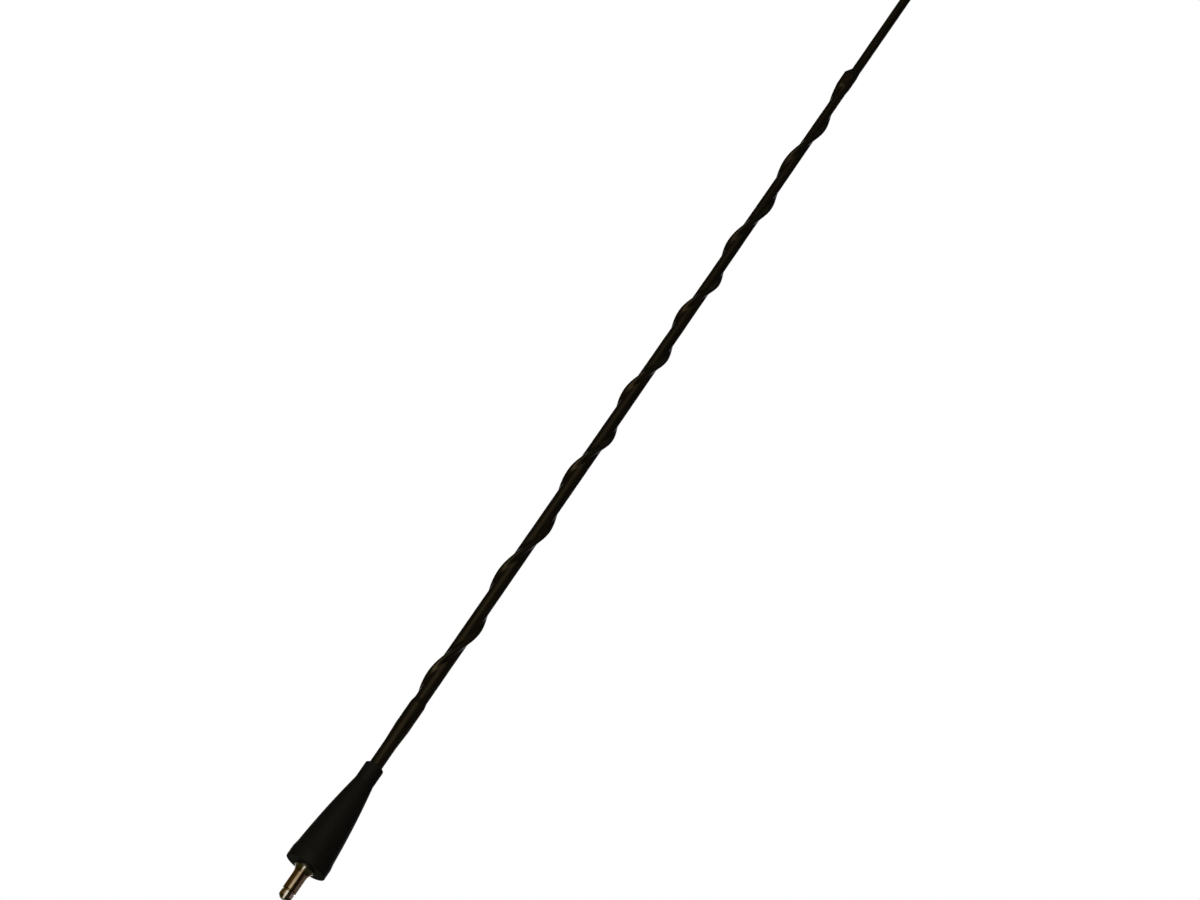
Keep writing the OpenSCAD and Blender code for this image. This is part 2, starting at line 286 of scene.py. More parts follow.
sparkle_lamp = hang_lamp("sparkle_lamp", (-0.45, -1.12, -0.62), SMALL, 0.5, DAYLIGHT)
sparkle_lamp.light_linking.blocker_collection = all_but("sparkle_blockers", floor)

# %% [markdown]
# ## Black cards
#
# Polished metal shows the room and not the lamp. In an all white room a metal pin is a flat
# pale strip, so photographers stand dark cards round it: the pin then shows a bright stripe
# where it sees the room between two cards, and a dark one where it sees a card. The cards here
# are hidden from the camera and from the lamps, and only reflections see them. They stand on a
# ring round the mast, and their angles count from the camera's side towards its right.
#
# The camera looks up, so each part of the mast mirrors a band of the ring that is higher than
# itself. The pin sees the low cards, and the boot and the rod see the high ones. Those reach
# far up, because a glossy rod also mirrors whatever part of the white room stands above a card.

# %% Tools for cards
CARD_RING, CARD_STEP_DEG = 0.9, 5


def directions(from_deg, to_deg):
    """Unit directions along a part of the ring, about five degrees apart."""
    steps = max(2, int((to_deg - from_deg) / CARD_STEP_DEG))
    turns = np.radians(np.linspace(from_deg, to_deg, steps + 1))
    return [(math.sin(turn), -math.cos(turn)) for turn in turns]


def hidden_card(name, pairs, shade):
    """An evenly glowing strip through pairs of points, hidden from all but reflections."""
    mesh = bpy.data.meshes.new(name)
    faces = [(k, k + 2, k + 3, k + 1) for k in range(0, 2 * len(pairs) - 2, 2)]
    mesh.from_pydata([point for pair in pairs for point in pair], [], faces)
    cloth = bpy.data.materials.new(name)
    cloth.use_nodes = True
    cloth.node_tree.nodes.clear()
    out = cloth.node_tree.nodes.new("ShaderNodeOutputMaterial")
    glow = light_node(cloth.node_tree, "Emission", shade, 1.0)
    cloth.node_tree.links.new(glow, out.inputs["Surface"])
    mesh.materials.append(cloth)
    card = bpy.data.objects.new(name, mesh)
    scene.collection.objects.link(card)
    card.visible_camera = card.visible_diffuse = card.visible_shadow = False
    card.visible_transmission = card.visible_volume_scatter = False
    return card


print("the ring of cards is", CARD_RING, "m from the mast")

# %% [markdown]
# The upright cards are listed with the angles that they span, their lower and upper edges, and
# the glow that a reflection of them shows. Veils are the paler ones. They stand for the soft
# edge that a real card has in a lit room, and the window is the gap that gives the boot and the
# rod their sheen.

# %% Stand the cards
LOW_TOP, VEIL_TOP, WINDOW_FOOT, WINDOW_TOP, CARD_TOP = 0.3, 0.6, 0.52, 0.66, 2.6
# name, first and last angle in degrees, lower and upper edge in metres, glow
CARDS = [
    ("left_card_low", -150, -62, FLOOR_Z, LOW_TOP, (0.080, 0.050, 0.010)),
    ("left_veil_low", -62, -36, FLOOR_Z, LOW_TOP, (0.140, 0.100, 0.040)),
    ("slim_card_low", 3, 60, FLOOR_Z, LOW_TOP, (0.020, 0.013, 0.005)),
    ("right_card_low", 60, 145, FLOOR_Z, LOW_TOP, (0.200, 0.180, 0.220)),
    ("left_card_high", -150, -80, LOW_TOP, CARD_TOP, (0.030, 0.025, 0.014)),
    ("left_veil_high", -80, -56, LOW_TOP, VEIL_TOP, (0.140, 0.120, 0.080)),
    ("left_veil_top", -80, -56, VEIL_TOP, CARD_TOP, (0.025, 0.022, 0.016)),
    ("right_card_high", -4, 145, LOW_TOP, CARD_TOP, (0.040, 0.038, 0.040)),
    ("window_veil", -56, -4, WINDOW_FOOT, WINDOW_TOP, (0.400, 0.360, 0.300)),
    ("window_top", -56, -4, WINDOW_TOP, CARD_TOP, (0.035, 0.030, 0.022)),
]


def stand_card(name, from_deg, to_deg, low, high, shade):
    """A curved upright card on the ring."""
    pairs = [((CARD_RING * x, CARD_RING * y, low), (CARD_RING * x, CARD_RING * y, high))
             for x, y in directions(from_deg, to_deg)]
    return hidden_card(name, pairs, shade)


print("cards:", [stand_card(*card).name for card in CARDS])

# %% [markdown]
# The shoulder of the pin and the underside of the boot look down, so they mirror the floor. A
# few cards lie there in sectors round the pin: a white one below the gap that the shaft
# mirrors, so that the bright stripe of the shaft runs on over the shoulder, dark ones beside
# it, and a grey one behind.

# %% Lay the floor cards
CARD_LIFT, NEAR_EDGE = 0.1 * MM, 0.1 * MM
BEHIND_SPLIT = 0.03
# name, first and last angle in degrees, inner and outer radius in metres, glow
FOOT_CARDS = [
    ("foot_card_front", -24, 0, NEAR_EDGE, CARD_RING, (0.95, 0.97, 1.00)),
    ("foot_card_right", 0, 115, NEAR_EDGE, CARD_RING, (0.022, 0.020, 0.012)),
    ("foot_card_behind", 115, 245, NEAR_EDGE, BEHIND_SPLIT, (0.190, 0.205, 0.160)),
    ("foot_card_far", 115, 245, BEHIND_SPLIT, CARD_RING, (0.080, 0.074, 0.062)),
    ("foot_card_left", 245, 336, NEAR_EDGE, CARD_RING, (0.035, 0.030, 0.006)),
]


def lay_card(name, from_deg, to_deg, inner, outer, shade):
    """A sector of a ring, lying just above the floor."""
    z = FLOOR_Z + CARD_LIFT
    pairs = [((outer * x, outer * y, z), (inner * x, inner * y, z))
             for x, y in directions(from_deg, to_deg)]
    return hidden_card(name, pairs, shade)


print("floor cards:", [lay_card(*card).name for card in FOOT_CARDS])

# %% [markdown]
# ## Tools for finishes
#
# Every finish starts from the same few parts: a Principled shader, the place of each point on
# the real object in metres, and noise at a real size. Image textures would need files and a
# flat layout of each surface. Patterns that are computed from the place in space need neither,
# and they run unbroken over an edge. Numbers that are the same all over go straight onto the
# shader.

# %% Parts of a finish


class Finish:
    """A material with a Principled shader, and short ways to add the usual nodes."""

    def __init__(self, name, **sockets):
        self.material = bpy.data.materials.new(name)
        self.material.use_nodes = True
        self.tree = self.material.node_tree
        self.tree.nodes.clear()
        self.shader = self.tree.nodes.new("ShaderNodeBsdfPrincipled")
        out = self.tree.nodes.new("ShaderNodeOutputMaterial")
        self.tree.links.new(self.shader.outputs["BSDF"], out.inputs["Surface"])
        self.place = self.tree.nodes.new("ShaderNodeTexCoord").outputs["Object"]
        for socket, value in sockets.items():
            self.shader.inputs[socket.replace("_", " ")].default_value = value

    def add(self, kind, inputs, **settings):
        """A node with its settings, whose inputs are numbers, colours or other nodes' outputs."""
        made = self.tree.nodes.new("ShaderNode" + kind)
        for key, value in settings.items():
            setattr(made, key, value)
        for key, value in inputs.items():
            if isinstance(value, bpy.types.NodeSocket):
                self.tree.links.new(value, made.inputs[key])
            else:
                made.inputs[key].default_value = value
        return made

    def stretched(self, x, y, z):
        """The place of each point, squeezed or stretched along the three axes."""
        return self.add("Mapping", {"Vector": self.place, "Scale": (x, y, z)}).outputs[0]

    def noise(self, size_mm, vector=None, detail=3.0, rough=0.55):
        """Soft random blotches of about the given size, from 0 to 1."""
        vector = self.place if vector is None else vector
        return self.add("TexNoise", {"Vector": vector, "Scale": 1 / (size_mm * MM),
                                     "Detail": detail, "Roughness": rough}).outputs["Fac"]

    def spread(self, value, low, high, to_low=0.0, to_high=1.0):
        """The value with the part between low and high spread over a new range."""
        return self.add("MapRange", {"Value": value, "From Min": low, "From Max": high,
                                     "To Min": to_low, "To Max": to_high}).outputs[0]

    def graded(self, noise, low, high):
        """A noise spread over a range. Most noise values lie between 0.3 and 0.7."""
        return self.spread(noise, 0.3, 0.7, low, high)

    def maths(self, operation, first, second=0.0):
        """One or two values put through an operation of the Math node."""
        return self.add("Math", {0: first, 1: second}, operation=operation).outputs[0]

    def mould_line(self, crest_mm, foot_mm):
        """1 on the thin lines up both sides, in the plane y = 0, and 0 a hair beside them."""
        across = self.add("SeparateXYZ", {"Vector": self.place}).outputs["Y"]
        return self.spread(self.maths("ABSOLUTE", across), crest_mm * MM, foot_mm * MM, 1.0, 0.0)

    def between(self, share, first, second):
        """A colour between two, by a share from 0 to 1."""
        mix = self.tree.nodes.new("ShaderNodeMix")
        mix.data_type = "RGBA"
        # a Mix node has sockets for all kinds of data: 0 is the share, 6 and 7 are the colours
        sockets = (mix.inputs[0], mix.inputs[6], mix.inputs[7])
        for socket, value in zip(sockets, (share, first, second)):
            if isinstance(value, bpy.types.NodeSocket):
                self.tree.links.new(value, socket)
            elif isinstance(value, tuple):
                socket.default_value = (*value, 1.0)
            else:
                socket.default_value = value
        return mix.outputs[2]

    def colour(self, output):
        self.tree.links.new(output, self.shader.inputs["Base Color"])

    def roughness(self, output):
        self.tree.links.new(output, self.shader.inputs["Roughness"])

    def relief(self, *layers):
        """Fine relief: each layer is a height output and its full depth in millimetres."""
        normal = None
        for height, depth_mm in layers:
            inputs = {"Height": height, "Distance": depth_mm * MM, "Strength": 1.0}
            if normal is not None:
                inputs["Normal"] = normal
            normal = self.add("Bump", inputs).outputs["Normal"]
        self.tree.links.new(normal, self.shader.inputs["Normal"])


print("the parts of a finish are ready")

# %% [markdown]
# ## Moulded rubber of the boot
#
# The boot is soft black rubber from a steel mould. It is matte, with a broad dull sheen and a
# fine leathery grain that the mould was etched with. Two halves of the mould met at the sides,
# and a hair of rubber crept between them, so a thin line runs up each side. Handling leaves it
# a little uneven: the rubber is smoother in some patches than in others, and grey specks of
# road dust stay on it.

# %% Rubber finish
rubber = Finish("moulded_rubber", Specular_IOR_Level=0.11, Specular_Tint=(1.0, 0.88, 0.66, 1.0))
rubber_patch = rubber.noise(4.0, detail=4.0)
rubber_grain = rubber.noise(0.16, detail=2.0)
rubber_dust = rubber.spread(rubber.noise(0.9, detail=5.0, rough=0.7), 0.55, 0.8)
rubber_tone = rubber.between(rubber_patch, (0.0017, 0.0016, 0.0012), (0.0031, 0.0029, 0.0022))
rubber.colour(rubber.between(rubber.maths("MULTIPLY", rubber_dust, 0.35),
                             rubber_tone, (0.0075, 0.0070, 0.0056)))
rubber.roughness(rubber.graded(rubber_patch, 0.52, 0.66))
rubber.relief((rubber.mould_line(0.04, 0.14), 0.06), (rubber_patch, 0.05), (rubber_grain, 0.02))
print("finish:", rubber.material.name)

# %% [markdown]
# ## Satin plastic of the shrink sleeve
#
# The sleeve is a thin plastic tube that was shrunk on with hot air. Shrinking pulls it smooth,
# so it is glossier than the rubber, with faint streaks along the mast where it was drawn in the
# factory and soft dimples where it cooled. The colour is a brownish black.

# %% Sleeve finish
satin = Finish("shrunk_satin", Specular_IOR_Level=0.26, Specular_Tint=(1.0, 0.72, 0.34, 1.0))
satin_streak = satin.noise(0.5, satin.stretched(1.0, 1.0, 0.04), detail=3.0)
satin_patch = satin.noise(3.0, detail=4.0)
satin_dimple = satin.noise(0.8, satin.stretched(1.0, 1.0, 0.35), detail=2.0)
satin_tone = satin.between(satin_patch, (0.0014, 0.0012, 0.0008), (0.0028, 0.0024, 0.0016))
satin.colour(satin.between(satin.spread(satin_streak, 0.55, 0.75), satin_tone,
                           (0.0052, 0.0044, 0.0030)))
satin_uneven = satin.maths("ADD", satin_streak, satin_patch)
satin.roughness(satin.spread(satin_uneven, 0.7, 1.3, 0.31, 0.41))
satin.relief((satin_patch, 0.03), (satin_dimple, 0.012), (satin_streak, 0.006))
print("finish:", satin.material.name)

# %% [markdown]
# ## Turned metal of the pin
#
# The fitting is turned from brass bar on a lathe and thinly plated. The tool leaves rings that
# run round the axis, far finer than a millimetre. In use the plating wears to a warm tone where
# the pin slides in its socket. The band of the shoulder just under the boot is darkened with
# painted shade, where the boot overhangs it, and a little grime. The head, which the spring in
# the socket wipes, and the shoulder below that band keep their pale plating. The rings come
# from noise that changes only with height, which is what a cutting tool leaves.

# %% Metal finish
HEAD_EDGE, SHOULDER_EDGE, SHADE_AND_DIRT_EDGE = (-10.3, -10.0), (-2.2, -1.2), (-0.70, -0.62)
SHAFT_PALE, SHAFT_DARK = (0.40, 0.29, 0.18), (0.30, 0.21, 0.11)
# the last of these colours is painted shade for the shoulder band under the boot, partly grime
PLATING, SLIDE_MARK, SHADE_AND_DIRT = (0.62, 0.55, 0.42), (0.50, 0.40, 0.28), (0.05, 0.035, 0.018)

metal = Finish("turned_metal", Metallic=1.0)
metal_height = metal.add("SeparateXYZ", {"Vector": metal.place}).outputs["Z"]


def metal_above(edge, below=0.0, above=1.0):
    """A value that changes over a short stretch of the fitting's height, given in millimetres."""
    return metal.spread(metal_height, edge[0] * MM, edge[1] * MM, below, above)


ring_place = metal.stretched(0.02, 0.02, 1.0)
tool_rings = metal.noise(0.09, ring_place, detail=3.0)
broad_rings = metal.noise(0.7, ring_place, detail=2.0)
slide_marks = metal.noise(0.25, metal.stretched(1.0, 1.0, 0.05), detail=3.0)
tarnish = metal.noise(1.1, detail=5.0, rough=0.65)
# painted shade: the side of the shoulder just under the boot turns dark, with a little grime
shade_and_dirt = metal.maths("MULTIPLY", metal_above(SHADE_AND_DIRT_EDGE), metal.spread(tarnish, 0.35, 0.65, 0.5, 1.0))
plated = metal.maths("MAXIMUM", metal_above(HEAD_EDGE, 1.0, 0.0), metal_above(SHOULDER_EDGE))
shaft_tone = metal.between(metal.spread(tarnish, 0.35, 0.7), SHAFT_PALE, SHAFT_DARK)
metal_tone = metal.between(plated, shaft_tone, PLATING)
metal_worn = metal.between(metal.spread(slide_marks, 0.5, 0.7, 0.0, 0.6), metal_tone, SLIDE_MARK)
# the dark colour mixed in here is the painted shade under the boot
metal.colour(metal.between(metal.maths("MULTIPLY", shade_and_dirt, 0.9), metal_worn, SHADE_AND_DIRT))
metal.roughness(metal.maths("ADD", metal.graded(slide_marks, 0.11, 0.19),
                            metal.maths("MULTIPLY", shade_and_dirt, 0.3)))
metal.relief((broad_rings, 0.012), (tool_rings, 0.006), (slide_marks, 0.003))
print("finish:", metal.material.name)

# %% [markdown]
# ## Hard plastic of the tip cap
#
# The cap at the tip is moulded from a hard black plastic. It is glossier than the sleeve, with
# a very fine spark texture and the mark of the mould's parting line up both sides.

# %% Cap finish
cap = Finish("moulded_cap", Specular_IOR_Level=0.35)
cap_patch = cap.noise(2.0, detail=3.0)
cap_spark = cap.noise(0.12, detail=2.0)
cap.colour(cap.between(cap_patch, (0.0038, 0.0035, 0.0028), (0.0062, 0.0058, 0.0048)))
cap.roughness(cap.graded(cap_spark, 0.3, 0.42))
cap.relief((cap.mould_line(0.03, 0.1), 0.04), (cap_patch, 0.02), (cap_spark, 0.008))
print("finish:", cap.material.name)

# %% [markdown]
# ## Finishes inside the mast
#
# Nothing below shows while the mast is whole, but a reader may cut it open. The core is glass
# fibre in resin, drawn along its length. The wire is enamelled copper, the cord is woven nylon,
# the two bindings are shrunk film, and the solder ring is dull tin.

# %% Hidden finishes


def plain_finish(name, size_mm, stretch, detail, tones, gloss, depth_mm, **sockets):
    """A finish whose tone, roughness and relief all follow one noise, stretched along the mast."""
    finish = Finish(name, **sockets)
    grain = finish.noise(size_mm, finish.stretched(1.0, 1.0, stretch), detail)
    finish.colour(finish.between(grain, *tones))
    finish.roughness(finish.graded(grain, *gloss))
    finish.relief((grain, depth_mm))
    print("finish:", finish.material.name)
    return finish


glass_fibre = plain_finish(
    "drawn_glass_fibre", size_mm=0.12, stretch=0.01, detail=4.0, gloss=(0.32, 0.48), depth_mm=0.01,
    tones=((0.62, 0.58, 0.38), (0.80, 0.77, 0.60)), Specular_IOR_Level=0.5)
copper = plain_finish(
    "enamelled_copper", size_mm=0.4, stretch=1.0, detail=3.0, gloss=(0.22, 0.34), depth_mm=0.004,
    tones=((0.58, 0.25, 0.12), (0.74, 0.36, 0.20)),
    Metallic=1.0, Coat_Weight=0.6, Coat_Roughness=0.15)
nylon = plain_finish(
    "woven_nylon", size_mm=0.22, stretch=0.6, detail=2.0, gloss=(0.6, 0.8), depth_mm=0.05,
    tones=((0.020, 0.020, 0.019), (0.055, 0.054, 0.050)), Specular_IOR_Level=0.3)
film = plain_finish(
    "shrunk_film", size_mm=0.6, stretch=0.3, detail=3.0, gloss=(0.2, 0.34), depth_mm=0.02,
    tones=((0.008, 0.008, 0.008), (0.016, 0.015, 0.014)), Specular_IOR_Level=0.4)
tin = plain_finish(
    "dull_solder", size_mm=0.5, stretch=1.0, detail=4.0, gloss=(0.34, 0.55), depth_mm=0.03,
    tones=((0.42, 0.42, 0.40), (0.62, 0.61, 0.58)), Metallic=1.0)

# %% [markdown]
# ## Dress the CAD solids
#
# Every solid gets the finish of the real piece. The pieces inside the mast stay as they are.
# The four that show are given finer skins further down, and each skin wears the same finish as
# its solid.

# %% Give the solids their finishes
DRESS = {
    "end_fitting": metal, "solder_joint": tin, "core_rod": glass_fibre, "conductor_wire": copper,
    "spiral_cord": nylon, "lower_binding": film, "upper_binding": film, "boot": rubber,
    "tip_cap": cap, "sleeve": satin,
}
for solid, finish in DRESS.items():
    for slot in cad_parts[solid].material_slots:
        slot.material = finish.material
print("dressed:", len(DRESS), "solids")

# %% [markdown]
# ## The shape of the winding
#
# The sleeve of the CAD model has only as many faces as an exact solid can carry, and its ridge
# shows flats when it is lit. A finer skin takes its place. It is worked out from the same facts
# as the solid: how thick the whip is at each height, how far the cord has turned, and how the
# plastic bridges from the top of the cord down to the whip. A sculpted or simulated sleeve
# could look as soft, but it would drift away from the solid underneath.

# %% Facts of the whip and the cord, in millimetres
# heights, and the radius of the core at each of them
WHIP_RADIUS = ([41.5, 180.0, 340.0], [1.53, 1.38, 0.79])
WIRE, WIRE_GAP, CORD, CORD_GAP, SLEEVE_GAP, WALL = 0.3, 0.1, 1.2, 0.08, 0.07, 0.36
TAIL_DEG, CORD_START, TURN_RISE, FIRST_TURN = 90.0, 67.8, 37.5, 0.25
TURN_SHARES = [1.15, 1.16, 0.95, 0.94, 0.86, 0.99, 0.95]

turn_heights, turn_numbers = [CORD_START], [0.0]
for n in range(len(TURN_SHARES) + 1):
    climbed = FIRST_TURN * TURN_SHARES[0] + sum(TURN_SHARES[:n])
    turn_heights.append(CORD_START + TURN_RISE * climbed)
    turn_numbers.append(FIRST_TURN + n)
CORD_END = turn_heights[-1]
print("the cord ends at", round(CORD_END, 2), "mm after", turn_numbers[-1], "turns")


def whip_radius(z):
    """Radius of the core with its copper wire."""
    return np.interp(z, *WHIP_RADIUS) + WIRE_GAP + WIRE


def cord_direction(z):
    """Direction of the cord round the mast, in degrees."""
    return TAIL_DEG + 360.0 * np.interp(z, turn_heights, turn_numbers)


# %% [markdown]
# ## Where the sleeve lies
#
# Two bindings tie down the ends of the cord, and the sleeve swells a little over them. Each
# swelling is a ramp that rises from 0 to 1 over a short height. Towards the winding the ramps
# are 2 mm long, a bit longer than on the solid, because a shrunk tube draws itself smooth over
# a step. Beside the cord the sleeve stands off in a smooth hollow, and a squared cosine gives
# that slope: level on top of the cord and level again where it meets the whip.

# %% Radius of the sleeve at any height and angle
# where each binding starts and ends, how long the ramps are, and how thick the bindings are
LOW_TIE, HIGH_TIE = (57.5, 67.0), (CORD_END, CORD_END + 5.2)
LOW_SLOPE, STEP, HIGH_SLOPE = 7.0, 2.0, 2.4
LOW_TIE_WALL, HIGH_TIE_WALL = 0.3, 0.15
DRAPE, TIE_DRAPE = 2.9, 3.9


def soft_ramp(z, start, end):
    """0 before start, 1 after end, and straight between them."""
    return np.clip((z - start) / (end - start), 0.0, 1.0)


def cover_shares(z):
    """How much of the low tie, the high tie and the cord lies under the sleeve."""
    rise = soft_ramp(z, LOW_TIE[0] - LOW_SLOPE, LOW_TIE[0])
    fall = 1 - soft_ramp(z, HIGH_TIE[1], HIGH_TIE[1] + HIGH_SLOPE)
    low = np.minimum(rise, 1 - soft_ramp(z, LOW_TIE[1], LOW_TIE[1] + STEP))
    high = np.minimum(soft_ramp(z, HIGH_TIE[0] - STEP, HIGH_TIE[0]), fall)
    return low, high, np.minimum(rise, fall)


def half_drape(z):
    """Angle from the cord to where the sleeve lies down on the whip, in degrees."""
    low, high, _ = cover_shares(z)
    cord_half = np.degrees(np.arcsin(CORD / 2 / (whip_radius(z) + CORD_GAP + CORD / 2)))
    return (DRAPE + (TIE_DRAPE - DRAPE) * np.maximum(low, high)) * cord_half


def lining_radius(z, share):
    """Inner radius of the sleeve, where share is 0 on the cord and 1 where it lies down."""
    low, high, cord = cover_shares(z)
    lift = np.where(share < 1, np.cos(np.pi / 2 * np.clip(share, 0, 1)) ** 2, 0.0)
    return (whip_radius(z) + SLEEVE_GAP + (LOW_TIE_WALL + SLEEVE_GAP) * low
            + (HIGH_TIE_WALL + SLEEVE_GAP) * high + (CORD + CORD_GAP) * cord * lift)


plain_radius = float(lining_radius(50.0, 1.0)) + WALL
print("radius of the plain sleeve at a height of 50 mm:", round(plain_radius, 3))

# %% [markdown]
# ## Knit the skin
#
# The skin is a stack of rings. Each ring turns with the cord, so one column of points follows
# the crest of the ridge all the way up and the crest stays crisp. Points stand close together
# across the ridge and wide apart on the plain back. A second, coarser stack is the inside of
# the tube, and two flat ends close it. A little waviness, a fiftieth of a millimetre deep,
# breaks the highlights the way a heat-shrunk tube does.

# %% Rings and columns
SLEEVE_FOOT, SLEEVE_TOP = 17.95, 396.5
RIDGE_COLUMNS, BACK_COLUMNS = 32, 40
RING_GAP, FINE_GAP, LEAST_GAP = 0.5, 0.12, 0.05
WAVE, CALM_FOOT, CALM_TOP = 0.02, (44.0, 50.0), (384.0, 387.0)

bends = [SLEEVE_FOOT, LOW_TIE[0] - LOW_SLOPE, *LOW_TIE, LOW_TIE[1] + STEP,
         HIGH_TIE[0] - STEP, *HIGH_TIE, HIGH_TIE[1] + HIGH_SLOPE, SLEEVE_TOP]
step_middles = (LOW_TIE[1] + STEP / 2, HIGH_TIE[0] - STEP / 2)
fine = [z for middle in step_middles for z in np.arange(middle - STEP, middle + STEP, FINE_GAP)]
plain = np.arange(SLEEVE_FOOT, SLEEVE_TOP, RING_GAP)
ring_heights = np.unique(np.round(np.concatenate([bends, fine, plain]), 3))
ring_heights = ring_heights[np.append(np.diff(ring_heights) > LEAST_GAP, True)]
print("rings:", len(ring_heights), "columns:", RIDGE_COLUMNS + BACK_COLUMNS)


def waviness(z, turn):
    """A smooth unevenness from -1 to 1, of sines whose lengths never quite fit each other."""
    return (np.sin(z * 0.43 + 1.3 * np.sin(turn)) * np.cos(turn + z * 0.07)
            + 0.6 * np.sin(z * 1.1 + 2 * turn + 0.8) * np.sin(0.23 * z)) / 1.6


def rings_of_points(heights, wall, wave):
    """All points of a stack of rings, as an array of rings by columns by three."""
    across = np.linspace(-1, 1, RIDGE_COLUMNS + 1)
    behind = np.linspace(0, 1, BACK_COLUMNS + 1)[1:-1]
    z = heights[:, None]
    drape = half_drape(z)
    off_cord = np.concatenate([drape * across, drape + (360 - 2 * drape) * behind], axis=1)
    share = np.concatenate([np.abs(across), np.ones(len(behind))])[None, :]
    turn = np.radians(cord_direction(z) + off_cord)
    wave_here = wave * soft_ramp(z, *CALM_FOOT) * (1 - soft_ramp(z, *CALM_TOP))
    radius = lining_radius(z, share) + wall + wave_here * waviness(z, turn)
    level = np.broadcast_to(z, radius.shape)
    return np.stack([radius * np.cos(turn), radius * np.sin(turn), level], axis=2)


outer = rings_of_points(ring_heights, WALL, WAVE)
print("outer rings and columns:", outer.shape[:2])

# %% [markdown]
# The outer stack is turned into quads, the lining into a second set that faces inward, and the
# two ends into strips of quads between an outer and an inner ring with the same number of
# columns.

# %% Make the sleeve mesh
LINING_STEP = 4

lining_heights = np.append(ring_heights[:-1:LINING_STEP], ring_heights[-1])
inner = rings_of_points(lining_heights, 0.0, 0.0)


def quads(rings, columns, first, inward):
    """Quads between neighbouring rings, numbered from the given first point."""
    faces = []
    for k in range(rings - 1):
        low, high = first + k * columns, first + (k + 1) * columns
        for i in range(columns):
            j = (i + 1) % columns
            face = (low + i, low + j, high + j, high + i)
            faces.append(face[::-1] if inward else face)
    return faces


columns = outer.shape[1]
points = np.concatenate([outer.reshape(-1, 3), inner.reshape(-1, 3)]) * MM
inner_first = len(outer) * columns
faces = quads(len(outer), columns, 0, False) + quads(len(inner), columns, inner_first, True)
outer_top, inner_top = inner_first - columns, len(points) - columns
for i in range(columns):
    j = (i + 1) % columns
    faces.append((i, inner_first + i, inner_first + j, j))
    faces.append((outer_top + i, outer_top + j, inner_top + j, inner_top + i))
sleeve_mesh = bpy.data.meshes.new("sleeve_skin")
sleeve_mesh.from_pydata(points.tolist(), [], faces)
sleeve_mesh.validate()
sleeve_mesh.shade_smooth()
sleeve_mesh.materials.append(satin.material)
sleeve_skin = bpy.data.objects.new("sleeve_skin", sleeve_mesh)
scene.collection.objects.link(sleeve_skin)
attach(sleeve_skin, "root")
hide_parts("sleeve")
print("sleeve_skin has", len(sleeve_mesh.polygons), "faces")

# %% [markdown]
# ## Turn a profile
#
# The boot, the tip cap and the metal fitting are all round about the mast. Their solids carry
# each rounding in a few straight steps, and in raking light the dome of the cap then shows
# rings. The same drawings are turned once more here, with finer arcs. Blender's Screw modifier
# could turn them as well. Rings written out in code make it easy to keep the true corners:
# every edge that bends by more than a few degrees is marked sharp, and the fine steps of the
# arcs stay below that.

# %% Tools for turned skins
TURNED_COLUMNS, ARC_STEPS, CORNER_DEG = 86, 24, 4.6


def arc(centre, radius, from_deg, to_deg):
    """Points on an arc, as radius and height, with angles counted from the outward direction."""
    turns = np.radians(np.linspace(from_deg, to_deg, ARC_STEPS + 1))
    return [(centre[0] + radius * math.cos(a), centre[1] + radius * math.sin(a)) for a in turns]


def turned_mesh(name, profile):
    """A solid of revolution from the radius and height of each corner, run anticlockwise."""
    # a corner on the axis is one single point, and the quads beside it shrink to triangles
    points, faces, firsts = [], [], []
    for radius, z in profile:
        firsts.append(len(points))
        for i in range(TURNED_COLUMNS if radius else 1):
            turn = 2 * math.pi * i / TURNED_COLUMNS
            points.append((radius * math.cos(turn) * MM, radius * math.sin(turn) * MM, z * MM))
    for k, low in enumerate(firsts):
        after = (k + 1) % len(profile)
        high, on_low, on_high = firsts[after], int(profile[k][0] > 0), int(profile[after][0] > 0)
        for i in range(TURNED_COLUMNS if on_low or on_high else 0):
            j = (i + 1) % TURNED_COLUMNS
            corners = (low + i * on_low, low + j * on_low, high + j * on_high, high + i * on_high)
            faces.append(tuple(dict.fromkeys(corners)))
    mesh = bpy.data.meshes.new(name)
    mesh.from_pydata(points, [], faces)
    mesh.validate()
    mesh.shade_smooth()
    mesh.set_sharp_from_angle(angle=math.radians(CORNER_DEG))
    return mesh


def turned_skin(name, profile, finish, solid):
    """A turned piece that takes the place of a solid on the mast."""
    mesh = turned_mesh(name, profile)
    mesh.materials.append(finish.material)
    skin = bpy.data.objects.new(name, mesh)
    scene.collection.objects.link(skin)
    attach(skin, "root")
    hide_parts(solid)
    print(name, "has", len(mesh.polygons), "faces")
    return skin


print("a turned ring has", TURNED_COLUMNS, "columns, and corners start at", CORNER_DEG, "degrees")

# %% [markdown]
# ## The boot
#
# From the seat face up, the boot has a hair of a foot edge, a straight band, a short step in,
# and a long taper that swells a little, most of all halfway up, which makes the cone look soft.
# It ends in a straight collar with a round top edge. Inside, the rubber follows the ribs of the
# metal barrel that lock it.

# %% Make the boot skin
SHOULDER, BARREL, RIB, NECK = 3.6, 2.9, 3.4, 2.1
MOULD_GAP, FITTING_TOP, NECK_FOOT, SHOULDER_TOP = 0.05, 17.0, 14.0, 1.2
RIBS, RIB_SPACING, RIB_WIDTH = 4, 2.8, 1.1


def gripped_outline(gap):
    """The part of the fitting that the rubber grips, from the shoulder up, grown by a gap."""
    first = SHOULDER_TOP + (NECK_FOOT - SHOULDER_TOP - (RIBS - 1) * RIB_SPACING - RIB_WIDTH) / 2
    outline = [(SHOULDER + gap, SHOULDER_TOP + gap), (BARREL + gap, SHOULDER_TOP + gap)]
    for n in range(RIBS):
        foot, top = first + n * RIB_SPACING - gap, first + n * RIB_SPACING + RIB_WIDTH + gap
        outline += [(BARREL + gap, foot), (RIB + gap, foot), (RIB + gap, top), (BARREL + gap, top)]
    return outline + [(BARREL + gap, NECK_FOOT + gap), (NECK + gap, NECK_FOOT + gap),
                      (NECK + gap, FITTING_TOP + gap)]


